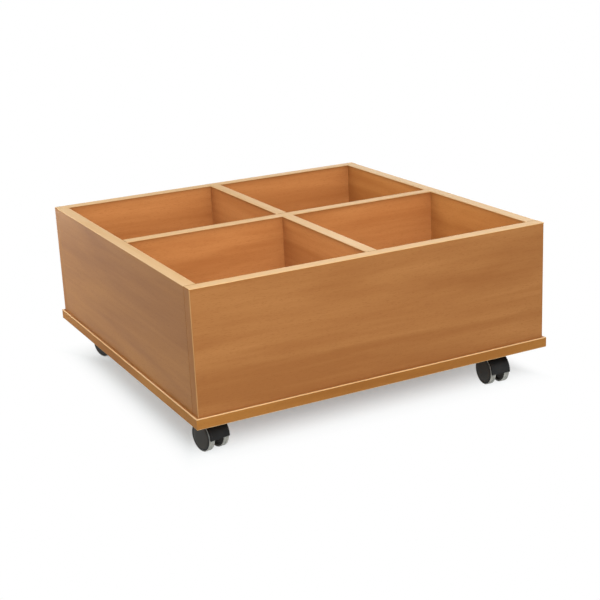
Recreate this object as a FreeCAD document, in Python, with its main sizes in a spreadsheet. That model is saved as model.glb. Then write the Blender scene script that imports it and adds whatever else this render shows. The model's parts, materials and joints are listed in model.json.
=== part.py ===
import FreeCAD, Part

import math
import os
import re

import Sketcher

Vector = FreeCAD.Vector

# The bin stands on the floor plane z = 0 with the middle of its plan at the origin.
# +X runs along the front from left to right, +Y from front to back and +Z up.
# Lengths are in millimetres and angles in degrees.
SIZES = {
    # base board with glued edging
    "base_width": 700.0,
    "base_depth": 700.0,
    "base_thickness": 19.0,
    "base_overhang": 5.0,
    # walls and dividers, all cut from the same board
    "wall_thickness": 22.0,
    "wall_height": 217.0,
    "edging_thickness": 2.0,
    "arris_radius": 1.6,
    # divider ends let into the walls, and the halving where the dividers cross
    "housing_depth": 6.0,
    "housing_stop": 30.0,
    "joint_clearance": 0.1,
    # loose tongues in the four corners
    "tongue_thickness": 5.0,
    "tongue_reach": 10.0,
    "tongue_stop": 18.0,
    # castor as a whole
    "trail": 22.0,
    "running_clearance": 0.05,
    "side_clearance": 0.4,
    # castor plate, with a headed swivel pin riveted into it
    "plate_size": 42.0,
    "plate_thickness": 2.5,
    "plate_corner": 5.0,
    "pin_radius": 4.0,
    "pin_head_lip": 1.6,
    "pin_head_height": 1.6,
    # wheels and axle
    "wheel_radius": 26.0,
    "wheel_width": 11.2,
    "wheel_gap": 18.5,
    "wheel_skin": 2.0,
    "axle_radius": 3.0,
    "axle_end_clearance": 0.5,
    # moulded hood
    "hood_setback": 0.9,
    "hood_clearance": 1.0,
    "hood_thickness": 2.2,
    "hood_to_plate": 7.3,
    "hood_front_angle": 1.0,
    "hood_back_angle": 40.0,
    "axle_boss_wall": 3.0,
    "stem_boss_inset": 1.2,
    "stem_boss_drop": 6.0,
    # how far each castor's swivel axis stands in from the base's edges, and its turn
    "front_left_inset_x": 44.0,
    "front_left_inset_y": 85.0,
    "front_left_turn": 11.4,
    "front_right_inset_x": 86.0,
    "front_right_inset_y": 69.0,
    "front_right_turn": -2.4,
    "back_left_inset_x": 58.0,
    "back_left_inset_y": 69.0,
    "back_left_turn": 20.0,
    "back_right_inset_x": 58.0,
    "back_right_inset_y": 69.0,
    "back_right_turn": 12.0,
}

# Sizes worked out from the driving dimensions.
HALF_BASE_X = "base_width / 2"
HALF_BASE_Y = "base_depth / 2"
HALF_BOX_X = "(base_width / 2 - base_overhang)"
HALF_BOX_Y = "(base_depth / 2 - base_overhang)"
INNER_X = "(base_width / 2 - base_overhang - wall_thickness)"
INNER_Y = "(base_depth / 2 - base_overhang - wall_thickness)"
HOOD_INNER = "(wheel_radius + hood_clearance)"
HOOD_OUTER = f"({HOOD_INNER} + hood_thickness)"
PLATE_UNDERSIDE = f"(wheel_radius + {HOOD_OUTER} + hood_to_plate)"
CASTOR_HEIGHT = f"({PLATE_UNDERSIDE} + plate_thickness)"
BASE_TOP = f"({CASTOR_HEIGHT} + base_thickness)"
RIM = f"({BASE_TOP} + wall_height)"
CORE_HEIGHT = "(wall_height - edging_thickness)"
HALVING = f"({BASE_TOP} + wall_height / 2)"
ARRIS = "min(arris_radius; 0.8 * edging_thickness)"
STEM_BOSS_FOOT = "(wheel_radius - stem_boss_drop)"
WEB = "(wheel_gap - 2 * side_clearance)"
WHEEL_OUTSIDE = "(wheel_gap / 2 + wheel_width)"
BORE_END = "(wheel_gap / 2 + wheel_width - wheel_skin)"
HOOD_HALF_WIDTH = "(wheel_gap / 2 + wheel_width - hood_setback)"
HOOD_START = "(90 - hood_back_angle)"

CASTORS = {
    "front_left": ("-1", "-1"),
    "front_right": ("1", "-1"),
    "back_left": ("-1", "1"),
    "back_right": ("1", "1"),
}
LOW_SIDES = {"left": "x", "front": "y", "bottom": "z"}
HIGH_SIDES = {"right": "x", "back": "y", "top": "z"}

doc = FreeCAD.newDocument("browser_bin")
sheet = doc.addObject("Spreadsheet::Sheet", "Sizes")
for row, (alias, number) in enumerate(SIZES.items(), start=1):
    sheet.set(f"A{row}", alias)
    sheet.set(f"B{row}", str(number))
    sheet.setAlias(f"B{row}", alias)
doc.recompute()

sub_parts = []


def formula(text):
    """Expression text that reads every driving dimension from the sheet."""
    return re.sub(r"[a-z_]+", lambda word: f"Sizes.{word[0]}" if word[0] in SIZES else word[0], text)


def value(text):
    """Number that a formula gives now."""
    return float(sheet.evalExpression(formula(text)))


def bind(item, setting, text):
    """Tie one property of an object to the sheet."""
    item.setExpression(setting, formula(text))


def place(item, corner):
    """Tie an object's position to the sheet."""
    for axis, text in zip("xyz", corner):
        bind(item, f"Placement.Base.{axis}", text)


def sub_part(item, label):
    """Give a finished piece its name and put it on the list of sub-parts."""
    item.Label = label
    sub_parts.append(item)
    return item


def box(name, size, corner):
    """Box from its lengths and its lowest corner."""
    solid = doc.addObject("Part::Box", name)
    for setting, text in zip(("Length", "Width", "Height"), size):
        bind(solid, setting, text)
    place(solid, corner)
    return solid


def fused(name, solids):
    """Several solids as one."""
    union = doc.addObject("Part::MultiFuse", name)
    union.Shapes = solids
    return union


def cut(name, solid, tools):
    """A solid less the tools."""
    result = doc.addObject("Part::Cut", name)
    result.Base = solid
    result.Tool = tools[0] if len(tools) == 1 else fused(f"{name}_tools", tools)
    return result


def group(name, solids):
    """Separate solids that share one node."""
    compound = doc.addObject("Part::Compound", name)
    compound.Links = solids
    return compound


def origin_plane(body, role):
    """One of a body's own origin planes."""
    return next(item for item in body.Origin.OriginFeatures if item.Role == role)


def new_sketch(body, name, role):
    """Empty sketch on one of the body's origin planes."""
    sketch = body.newObject("Sketcher::SketchObject", name)
    sketch.AttachmentSupport = [(origin_plane(body, role), "")]
    sketch.MapMode = "FlatFace"
    return sketch


def fix_point(sketch, shape, end, spot):
    """Hold one point of a sketch by its two distances from the sketch's origin."""
    for kind, text in zip(("DistanceX", "DistanceY"), spot):
        number = sketch.addConstraint(Sketcher.Constraint(kind, -1, 1, shape, end, value(text)))
        bind(sketch, f"Constraints[{number}]", text)


def outline(body, name, role, points):
    """Closed outline of straight lines through the given points."""
    sketch = new_sketch(body, name, role)
    spots = [Vector(value(x), value(y), 0) for x, y in points]
    for start, end in zip(spots, spots[1:] + spots[:1]):
        sketch.addGeometry(Part.LineSegment(start, end))
    for index, spot in enumerate(points):
        before = (index - 1) % len(points)
        sketch.addConstraint(Sketcher.Constraint("Coincident", before, 2, index, 1))
        fix_point(sketch, index, 1, spot)
    return sketch


def circle(body, name, role, middle, radius):
    """Circle about a fixed point."""
    sketch = new_sketch(body, name, role)
    spot = Vector(value(middle[0]), value(middle[1]), 0)
    sketch.addGeometry(Part.Circle(spot, Vector(0, 0, 1), value(radius)))
    fix_point(sketch, 0, 3, middle)
    number = sketch.addConstraint(Sketcher.Constraint("Radius", 0, value(radius)))
    bind(sketch, f"Constraints[{number}]", radius)
    return sketch


def raise_sketch(sketch, height):
    """Move a sketch off its plane along the plane's normal."""
    bind(sketch, "AttachmentOffset.Base.z", height)
    return sketch


def pad(body, name, sketch, length, midplane=False):
    """Solid drawn out of a sketch."""
    feature = body.newObject("PartDesign::Pad", name)
    feature.Profile = sketch
    feature.Midplane = midplane
    bind(feature, "Length", length)
    return feature


def revolve(body, name, sketch, angle="360"):
    """Solid turned from a sketch about the sketch's horizontal axis."""
    feature = body.newObject("PartDesign::Revolution", name)
    feature.Profile = sketch
    feature.ReferenceAxis = (sketch, ["H_Axis"])
    bind(feature, "Angle", angle)
    return feature


def bore(body, name, sketch, length, midplane=False):
    """Hole cut along the normal of a sketch; it must take material away."""
    doc.recompute()
    before = body.Shape.Volume
    feature = body.newObject("PartDesign::Pocket", name)
    feature.Profile = sketch
    feature.Midplane = midplane
    feature.Reversed = not midplane
    bind(feature, "Length", length)
    doc.recompute()
    if body.Shape.Volume >= before:
        raise ValueError(f"{body.Name} {name} cuts nothing")
    return feature


def lies_on(edge, side, span):
    """Whether an edge lies on one side of a box that starts at the origin."""
    axis = LOW_SIDES.get(side) or HIGH_SIDES[side]
    limit = getattr(span, axis) if side in HIGH_SIDES else 0.0
    return all(math.isclose(getattr(vertex.Point, axis), limit, abs_tol=1e-6) for vertex in edge.Vertexes)


def edging_strip(name, size, corner, joined):
    """Strip of edging whose arrises are rounded, apart from those on a joined side."""
    body = doc.addObject("PartDesign::Body", name)
    length, width, height = size
    corners = (("0", "0"), (length, "0"), (length, width), ("0", width))
    strip = pad(body, f"{name}_strip", outline(body, f"{name}_outline", "XY_Plane", corners), height)
    doc.recompute()
    span = Vector(*(value(text) for text in size))
    free = [
        f"Edge{number}"
        for number, edge in enumerate(strip.Shape.Edges, start=1)
        if not any(lies_on(edge, side, span) for side in joined)
    ]
    arris = body.newObject("PartDesign::Fillet", f"{name}_arris")
    arris.Base = (strip, free)
    bind(arris, "Radius", ARRIS)
    place(body, corner)
    return body


def make_base():
    """Base board with edging on all four sides."""
    board = box(
        "base_core",
        ("base_width - 2 * edging_thickness", "base_depth - 2 * edging_thickness", "base_thickness"),
        (f"edging_thickness - {HALF_BASE_X}", f"edging_thickness - {HALF_BASE_Y}", CASTOR_HEIGHT),
    )
    sub_part(board, "base_board")

    edge = "edging_thickness"
    long_strip = ("base_width", edge, "base_thickness")
    short_strip = (edge, "base_depth - 2 * edging_thickness", "base_thickness")
    low_x = f"-{HALF_BASE_X}"
    low_y = f"-{HALF_BASE_Y}"
    ends = ("front", "back")
    sides = ("left", "right")
    strips = (
        ("base_front_edging", long_strip, (low_x, low_y), ("back", *sides)),
        ("base_back_edging", long_strip, (low_x, f"{HALF_BASE_Y} - {edge}"), ("front", *sides)),
        ("base_left_edging", short_strip, (low_x, f"{low_y} + {edge}"), ("right", *ends)),
        ("base_right_edging", short_strip, (f"{HALF_BASE_X} - {edge}", f"{low_y} + {edge}"), ("left", *ends)),
    )
    for name, size, (x, y), joined in strips:
        sub_part(edging_strip(f"{name}_body", size, (x, y, CASTOR_HEIGHT), joined), name)


def corner_groove(name, x, y, size_x, size_y):
    """Stopped groove for the loose tongue of one corner."""
    height = f"({CORE_HEIGHT} - 2 * tongue_stop)"
    return box(name, (size_x, size_y, height), (x, y, f"{BASE_TOP} + tongue_stop"))


def make_walls():
    """Front and back walls over the ends of the side walls, with tongues in the corners."""
    slot = "(tongue_thickness + 2 * joint_clearance)"
    slot_depth = "(tongue_reach + joint_clearance)"
    divider_slot = "(wall_thickness + 2 * joint_clearance)"
    divider_slot_height = f"({CORE_HEIGHT} - housing_stop)"
    for side, sign in (("front", "-1"), ("back", "1")):
        centre_y = f"{sign} * ({HALF_BOX_Y} - wall_thickness / 2)"
        inner_face = f"{sign} * {INNER_Y}"
        core = box(
            f"{side}_core",
            (f"2 * ({HALF_BOX_X} - edging_thickness)", "wall_thickness", CORE_HEIGHT),
            (f"edging_thickness - {HALF_BOX_X}", f"{centre_y} - wall_thickness / 2", BASE_TOP),
        )
        grooves = [
            box(
                f"{side}_divider_housing",
                (divider_slot, "2 * housing_depth", divider_slot_height),
                (f"-{divider_slot} / 2", f"{inner_face} - housing_depth", BASE_TOP),
            )
        ]
        for end, across in (("left", "-1"), ("right", "1")):
            middle = f"{across} * ({HALF_BOX_X} - wall_thickness / 2)"
            grooves.append(
                corner_groove(
                    f"{side}_{end}_groove",
                    f"{middle} - {slot} / 2",
                    f"{inner_face} - {slot_depth}",
                    slot,
                    f"2 * {slot_depth}",
                )
            )
        sub_part(cut(f"{side}_cut", core, grooves), f"{side}_panel")

        low_y = f"{centre_y} - wall_thickness / 2"
        top = edging_strip(
            f"{side}_top_body",
            (f"2 * {HALF_BOX_X}", "wall_thickness", "edging_thickness"),
            (f"-{HALF_BOX_X}", low_y, f"{RIM} - edging_thickness"),
            ("bottom", "left", "right"),
        )
        sub_part(top, f"{side}_top_edging")
        ends = [
            edging_strip(
                f"{side}_{end}_end_body",
                ("edging_thickness", "wall_thickness", CORE_HEIGHT),
                (x, low_y, BASE_TOP),
                (inner, "bottom", "top"),
            )
            for end, x, inner in (
                ("left", f"-{HALF_BOX_X}", "right"),
                ("right", f"{HALF_BOX_X} - edging_thickness", "left"),
            )
        ]
        sub_part(group(f"{side}_ends", ends), f"{side}_end_edgings")

    for side, sign in (("left", "-1"), ("right", "1")):
        centre_x = f"{sign} * ({HALF_BOX_X} - wall_thickness / 2)"
        inner_face = f"{sign} * {INNER_X}"
        core = box(
            f"{side}_core",
            ("wall_thickness", f"2 * {INNER_Y}", CORE_HEIGHT),
            (f"{centre_x} - wall_thickness / 2", f"-{INNER_Y}", BASE_TOP),
        )
        grooves = [
            box(
                f"{side}_divider_housing",
                ("2 * housing_depth", divider_slot, divider_slot_height),
                (f"{inner_face} - housing_depth", f"-{divider_slot} / 2", BASE_TOP),
            )
        ]
        for end, along in (("front", "-1"), ("back", "1")):
            grooves.append(
                corner_groove(
                    f"{side}_{end}_groove",
                    f"{centre_x} - {slot} / 2",
                    f"{along} * {INNER_Y} - {slot_depth}",
                    slot,
                    f"2 * {slot_depth}",
                )
            )
        sub_part(cut(f"{side}_cut", core, grooves), f"{side}_panel")
        top = edging_strip(
            f"{side}_top_body",
            ("wall_thickness", f"2 * {INNER_Y}", "edging_thickness"),
            (f"{centre_x} - wall_thickness / 2", f"-{INNER_Y}", f"{RIM} - edging_thickness"),
            ("bottom", "front", "back"),
        )
        sub_part(top, f"{side}_top_edging")

    tongues = []
    for side, across in (("left", "-1"), ("right", "1")):
        for end, along in (("front", "-1"), ("back", "1")):
            middle = f"{across} * ({HALF_BOX_X} - wall_thickness / 2)"
            tongues.append(
                box(
                    f"{end}_{side}_tongue",
                    ("tongue_thickness", "2 * tongue_reach", f"{CORE_HEIGHT} - 2 * tongue_stop"),
                    (
                        f"{middle} - tongue_thickness / 2",
                        f"{along} * {INNER_Y} - tongue_reach",
                        f"{BASE_TOP} + tongue_stop",
                    ),
                )
            )
    sub_part(group("tongues", tongues), "corner_tongues")


def make_dividers():
    """Two dividers halved over each other, with tenons let into the walls."""
    slot = "(wall_thickness + 2 * joint_clearance)"
    tenon = "(housing_depth - joint_clearance)"
    tenon_height = f"({CORE_HEIGHT} - housing_stop - joint_clearance)"
    half = "wall_thickness / 2"

    plate = box(
        "long_plate",
        ("wall_thickness", f"2 * {INNER_Y}", CORE_HEIGHT),
        (f"-{half}", f"-{INNER_Y}", BASE_TOP),
    )
    tenons = box(
        "long_tenons",
        ("wall_thickness", f"2 * ({INNER_Y} + {tenon})", tenon_height),
        (f"-{half}", f"-{INNER_Y} - {tenon}", BASE_TOP),
    )
    notch = box("long_notch", (slot, slot, "wall_height"), (f"-{slot} / 2", f"-{slot} / 2", HALVING))
    long_core = fused("long_core", [plate, tenons])
    sub_part(cut("long_cut", long_core, [notch]), "long_divider")

    plate = box(
        "cross_plate",
        (f"2 * {INNER_X}", "wall_thickness", CORE_HEIGHT),
        (f"-{INNER_X}", f"-{half}", BASE_TOP),
    )
    tenons = box(
        "cross_tenons",
        (f"2 * ({INNER_X} + {tenon})", "wall_thickness", tenon_height),
        (f"-{INNER_X} - {tenon}", f"-{half}", BASE_TOP),
    )
    notch = box("cross_notch", (slot, slot, "wall_height / 2"), (f"-{slot} / 2", f"-{slot} / 2", BASE_TOP))
    cross_core = fused("cross_core", [plate, tenons])
    sub_part(cut("cross_cut", cross_core, [notch]), "cross_divider")

    height = f"{RIM} - edging_thickness"
    cross_top = edging_strip(
        "cross_top_body",
        (f"2 * {INNER_X}", "wall_thickness", "edging_thickness"),
        (f"-{INNER_X}", f"-{half}", height),
        ("bottom", "left", "right"),
    )
    sub_part(cross_top, "cross_divider_edging")
    length = f"({INNER_Y} - {slot} / 2)"
    halves = [
        edging_strip(
            f"long_top_{end}_body",
            ("wall_thickness", length, "edging_thickness"),
            (f"-{half}", low_y, height),
            ("bottom", "front", "back"),
        )
        for end, low_y in (("front", f"-{INNER_Y}"), ("back", f"{slot} / 2"))
    ]
    sub_part(group("long_tops", halves), "long_divider_edgings")


def make_plate(castor):
    """Plate under the base with the headed pin that the castor swivels on."""
    half = "plate_size / 2"
    edge = f"({half} - plate_corner)"
    corners = (
        (f"-{half}", f"-{edge}"),
        (f"-{edge}", f"-{half}"),
        (edge, f"-{half}"),
        (half, f"-{edge}"),
        (half, edge),
        (edge, half),
        (f"-{edge}", half),
        (f"-{half}", edge),
    )
    name = f"{castor}_plate"
    body = doc.addObject("PartDesign::Body", f"{name}_body")
    blank = raise_sketch(outline(body, f"{name}_outline", "XY_Plane", corners), PLATE_UNDERSIDE)
    pad(body, f"{name}_blank", blank, "plate_thickness")
    head_top = f"({STEM_BOSS_FOOT} - side_clearance)"
    pin = raise_sketch(circle(body, f"{name}_pin_circle", "XY_Plane", ("0", "0"), "pin_radius"), head_top)
    pad(body, f"{name}_pin", pin, f"{PLATE_UNDERSIDE} - {head_top}")
    head = circle(body, f"{name}_head_circle", "XY_Plane", ("0", "0"), "pin_radius + pin_head_lip")
    pad(body, f"{name}_head", raise_sketch(head, f"{head_top} - pin_head_height"), "pin_head_height")
    stand_under(body, castor)
    sub_part(body, f"{castor}_castor_plate")


def stand_under(body, castor):
    """Stand a piece of one castor on its swivel axis."""
    across, along = CASTORS[castor]
    x = f"{across} * ({HALF_BASE_X} - {castor}_inset_x)"
    y = f"{along} * ({HALF_BASE_Y} - {castor}_inset_y)"
    place(body, (x, y, "0"))


def turn_with(body, castor):
    """Stand a piece of one castor on its swivel axis, turned with it."""
    stand_under(body, castor)
    bind(body, "Placement.Rotation.Angle", f"{castor}_turn")


def on_axle(sketch, axis=Vector(0, 1, 0), angle=0.0):
    """Move a sketch on the XZ plane so that its horizontal axis is the axle's."""
    sketch.AttachmentOffset = FreeCAD.Placement(Vector(0, 0, 0), FreeCAD.Rotation(axis, angle))
    bind(sketch, "AttachmentOffset.Base.y", "wheel_radius")
    bind(sketch, "AttachmentOffset.Base.z", "trail")
    return sketch


def make_housing(castor):
    """Moulded hood and web over both wheels, with the bosses for the pin and the axle."""
    name = f"{castor}_housing"
    body = doc.addObject("PartDesign::Body", name)
    section = (
        (f"-{WEB} / 2", "0"),
        (f"{WEB} / 2", "0"),
        (f"{WEB} / 2", HOOD_INNER),
        (HOOD_HALF_WIDTH, HOOD_INNER),
        (HOOD_HALF_WIDTH, HOOD_OUTER),
        (f"-{HOOD_HALF_WIDTH}", HOOD_OUTER),
        (f"-{HOOD_HALF_WIDTH}", HOOD_INNER),
        (f"-{WEB} / 2", HOOD_INNER),
    )
    sketch = outline(body, f"{name}_section", "XZ_Plane", section)
    on_axle(sketch, Vector(-1, 0, 0), value(HOOD_START))
    bind(sketch, "AttachmentOffset.Rotation.Angle", HOOD_START)
    revolve(body, f"{name}_hood", sketch, "180 - hood_back_angle + hood_front_angle")

    rib_top = f"(wheel_radius + sqrt(max({HOOD_OUTER} ^ 2 - trail ^ 2; 0)))"
    rib = (("-trail", STEM_BOSS_FOOT), ("0", STEM_BOSS_FOOT), ("0", rib_top), ("-trail", rib_top))
    pad(body, f"{name}_web", outline(body, f"{name}_rib", "YZ_Plane", rib), WEB, midplane=True)
    axle_centre = ("-trail", "wheel_radius")
    axle_boss = circle(body, f"{name}_axle_circle", "YZ_Plane", axle_centre, "axle_radius + axle_boss_wall")
    pad(body, f"{name}_axle_boss", axle_boss, WEB, midplane=True)
    stem = circle(body, f"{name}_stem_circle", "XY_Plane", ("0", "0"), f"{WEB} / 2 - stem_boss_inset")
    stem_height = f"{PLATE_UNDERSIDE} - side_clearance - {STEM_BOSS_FOOT}"
    pad(body, f"{name}_stem_boss", raise_sketch(stem, STEM_BOSS_FOOT), stem_height)

    pin_hole = circle(body, f"{name}_pin_circle", "XY_Plane", ("0", "0"), "pin_radius + running_clearance")
    bore(body, f"{name}_pin_bore", pin_hole, CASTOR_HEIGHT)
    axle_hole = circle(body, f"{name}_axle_hole_circle", "YZ_Plane", axle_centre, "axle_radius")
    bore(body, f"{name}_axle_bore", axle_hole, "wheel_gap", midplane=True)
    turn_with(body, castor)
    sub_part(body, f"{castor}_castor_housing")


def make_axle(castor):
    """Axle pressed into the housing, with a free end in each wheel."""
    name = f"{castor}_axle"
    body = doc.addObject("PartDesign::Body", f"{name}_body")
    rod = circle(body, f"{name}_circle", "YZ_Plane", ("-trail", "wheel_radius"), "axle_radius")
    pad(body, f"{name}_rod", rod, f"2 * ({BORE_END} - axle_end_clearance)", midplane=True)
    turn_with(body, castor)
    sub_part(body, name)


def make_wheel(castor, side):
    """One wheel of the pair, blind-bored for the axle, with its outer face closed."""
    name = f"{castor}_{side}_wheel"
    body = doc.addObject("PartDesign::Body", f"{name}_body")
    half_section = (
        ("wheel_gap / 2", "axle_radius + running_clearance"),
        (BORE_END, "axle_radius + running_clearance"),
        (BORE_END, "0"),
        (WHEEL_OUTSIDE, "0"),
        (WHEEL_OUTSIDE, "wheel_radius"),
        ("wheel_gap / 2", "wheel_radius"),
    )
    sketch = outline(body, f"{name}_section", "XZ_Plane", half_section)
    on_axle(sketch, angle=180.0 if side == "left" else 0.0)
    revolve(body, f"{name}_disc", sketch)
    turn_with(body, castor)
    sub_part(body, name)


make_base()
make_walls()
make_dividers()
for castor in CASTORS:
    make_plate(castor)
    make_housing(castor)
    make_axle(castor)
    for side in ("left", "right"):
        make_wheel(castor, side)

doc.recompute()
for item in doc.Objects:
    if {"Invalid", "Error"} & set(item.State):
        raise ValueError(f"{item.Name} failed: {item.State}")
for item in sub_parts:
    if item.Shape.isNull() or not item.Shape.isValid():
        raise ValueError(f"{item.Label} has no valid shape")

os.makedirs("parts", exist_ok=True)
for item in sub_parts:
    item.Shape.exportStep(f"parts/{item.Label}.step")
print(len(sub_parts), "sub-parts written")
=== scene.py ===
import json
import math

import bmesh
import bpy
from mathutils import Matrix, Vector


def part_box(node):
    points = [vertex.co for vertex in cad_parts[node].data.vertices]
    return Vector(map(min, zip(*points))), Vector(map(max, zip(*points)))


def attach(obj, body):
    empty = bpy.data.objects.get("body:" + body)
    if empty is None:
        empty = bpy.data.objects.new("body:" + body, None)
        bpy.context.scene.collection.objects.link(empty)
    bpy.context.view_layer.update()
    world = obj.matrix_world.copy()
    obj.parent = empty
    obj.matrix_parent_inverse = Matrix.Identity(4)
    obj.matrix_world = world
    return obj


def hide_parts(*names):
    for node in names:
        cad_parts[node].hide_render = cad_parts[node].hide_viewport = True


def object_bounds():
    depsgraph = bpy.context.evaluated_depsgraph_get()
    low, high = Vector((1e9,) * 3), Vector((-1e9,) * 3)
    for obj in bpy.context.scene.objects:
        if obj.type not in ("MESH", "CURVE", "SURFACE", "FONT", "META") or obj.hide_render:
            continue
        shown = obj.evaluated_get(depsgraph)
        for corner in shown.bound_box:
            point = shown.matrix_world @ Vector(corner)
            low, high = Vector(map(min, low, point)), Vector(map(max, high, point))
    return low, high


bl_info = {
    "name": "Browser bin finishes",
    "version": (1, 0, 0),
    "blender": (4, 5, 0),
    "location": "3D View > Sidebar > Browser Bin",
    "description": "Beech boards, hooded castors, screws and a studio for a browser bin",
    "category": "Object",
}

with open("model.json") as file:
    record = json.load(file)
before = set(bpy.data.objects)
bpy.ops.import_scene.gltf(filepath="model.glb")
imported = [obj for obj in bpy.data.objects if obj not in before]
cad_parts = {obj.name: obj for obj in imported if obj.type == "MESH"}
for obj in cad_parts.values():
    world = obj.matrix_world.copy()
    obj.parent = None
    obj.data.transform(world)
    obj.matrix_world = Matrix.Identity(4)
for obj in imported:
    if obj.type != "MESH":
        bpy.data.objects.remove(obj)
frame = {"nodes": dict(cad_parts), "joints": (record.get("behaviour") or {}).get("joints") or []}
CAD_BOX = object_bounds()

CASTORS = ("front_left", "front_right", "back_left", "back_right")
WALLS_ALONG_X = ("front_panel", "back_panel", "cross_divider")
SIDE_WALLS = ("left_panel", "right_panel")
RIM_ALONG_X = ("front_top_edging", "back_top_edging", "cross_divider_edging")
RIM_ALONG_Y = ("left_top_edging", "right_top_edging", "long_divider_edgings")
BASE_ALONG_X = ("base_front_edging", "base_back_edging")
BASE_ALONG_Y = ("base_left_edging", "base_right_edging")
UPRIGHT_STRIPS = ("front_end_edgings", "back_end_edgings")

MM = 0.001
RIGHT_ANGLE = math.radians(90)
HALF_TURN = math.radians(180)
SMOOTH_ANGLE = math.radians(32)
# How far apart in metres two places may be and still count as one
NEAR = 1e-5


def linear(red, green, blue):
    """Linear colour from screen values of 0 to 255."""
    screen = (red / 255, green / 255, blue / 255)
    return tuple(c / 12.92 if c <= 0.04045 else ((c + 0.055) / 1.055) ** 2.4 for c in screen)


def middle(node):
    """Middle of a CAD node's box."""
    low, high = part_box(node)
    return (low + high) / 2


def joint(name):
    """One joint of the frame by its name."""
    return next(item for item in frame["joints"] if item["name"] == name)


SWIVEL = Vector(joint("back_left_swivel")["pos_m"])
AXLE = Vector(joint("back_left_right_wheel_spin")["pos_m"])
BASE_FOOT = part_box("base_board")[0].z
STEM_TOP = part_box("back_left_castor_housing")[1].z


class BoardFinish(bpy.types.PropertyGroup):
    """Colours of the boards and their edging."""

    board_dark: bpy.props.FloatVectorProperty(
        name="Dark grain", description="Darker streaks of the beech laminate",
        subtype="COLOR", default=linear(161, 103, 56), min=0.0, max=1.0,
    )
    board_light: bpy.props.FloatVectorProperty(
        name="Light grain", description="Lighter ground of the beech laminate",
        subtype="COLOR", default=linear(179, 121, 70), min=0.0, max=1.0,
    )
    # Side walls and upright strips: a copy of the board tones, a little darker and less blue, as
    # painted shade for the light on the left wall
    side_dark: bpy.props.FloatVectorProperty(
        name="Side walls, dark grain", description="Darker streaks of the side walls",
        subtype="COLOR", default=linear(158, 102, 52), min=0.0, max=1.0,
    )
    side_light: bpy.props.FloatVectorProperty(
        name="Side walls, light grain", description="Lighter ground of the side walls",
        subtype="COLOR", default=linear(176, 120, 65), min=0.0, max=1.0,
    )
    fleck: bpy.props.FloatVectorProperty(
        name="Flecks", description="Short dark flecks of beech",
        subtype="COLOR", default=linear(140, 84, 44), min=0.0, max=1.0,
    )
    lip_dark: bpy.props.FloatVectorProperty(
        name="Edging sides, dark grain", description="Darker streaks on the edging's sides",
        subtype="COLOR", default=linear(158, 102, 49), min=0.0, max=1.0,
    )
    lip_light: bpy.props.FloatVectorProperty(
        name="Edging sides, light grain", description="Lighter ground on the edging's sides",
        subtype="COLOR", default=linear(180, 123, 62), min=0.0, max=1.0,
    )
    # Pale colours painted on the edging's tops as painted light from above, and in part on its
    # arrises as a painted highlight
    lit_top_dark_grain: bpy.props.FloatVectorProperty(
        name="Edging top, dark grain", description="Darker lines on top of the edging",
        subtype="COLOR", default=linear(233, 189, 134), min=0.0, max=1.0,
    )
    lit_top_light_grain: bpy.props.FloatVectorProperty(
        name="Edging top, light grain", description="Ground colour on top of the edging",
        subtype="COLOR", default=linear(243, 205, 156), min=0.0, max=1.0,
    )
    sheen_roughness: bpy.props.FloatProperty(
        name="Roughness", description="Roughness of the satin laminate",
        subtype="FACTOR", default=0.38, min=0.0, max=1.0,
    )


class CastorFinish(bpy.types.PropertyGroup):
    """Sizes and colours of the hooded castors."""

    wheel_radius: bpy.props.FloatProperty(
        name="Wheel radius", description="Radius over the tread",
        unit="LENGTH", default=AXLE.z, min=0.0,
    )
    wheel_width: bpy.props.FloatProperty(
        name="Wheel width", description="Width of one wheel over its domed face",
        unit="LENGTH", default=11.2 * MM, min=0.0,
    )
    wheel_gap: bpy.props.FloatProperty(
        name="Wheel gap", description="Clear width between the two wheels",
        unit="LENGTH", default=18.5 * MM, min=0.0,
    )
    trail: bpy.props.FloatProperty(
        name="Trail", description="How far the axle stands from the swivel axis",
        unit="LENGTH", default=(SWIVEL - AXLE).xy.length, min=0.0,
    )
    hood_half_width: bpy.props.FloatProperty(
        name="Hood half width", description="Half of the hood's width",
        unit="LENGTH", default=19.5 * MM, min=0.0,
    )
    hood_radius: bpy.props.FloatProperty(
        name="Hood radius", description="Outer radius of the hood",
        unit="LENGTH", default=29.2 * MM, min=0.0,
    )
    hood_thickness: bpy.props.FloatProperty(
        name="Hood thickness", description="Thickness of the hood's shell",
        unit="LENGTH", default=2.2 * MM, min=0.0,
    )
    hood_color: bpy.props.FloatVectorProperty(
        name="Hood", description="Black of the moulded hood",
        subtype="COLOR", default=linear(35, 35, 35), min=0.0, max=1.0,
    )
    disc_color: bpy.props.FloatVectorProperty(
        name="Wheel face", description="Dark grey of the wheel's faces",
        subtype="COLOR", default=linear(50, 46, 41), min=0.0, max=1.0,
    )
    tread_color: bpy.props.FloatVectorProperty(
        name="Tread", description="Grey of the tread",
        subtype="COLOR", default=linear(178, 175, 168), min=0.0, max=1.0,
    )


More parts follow.
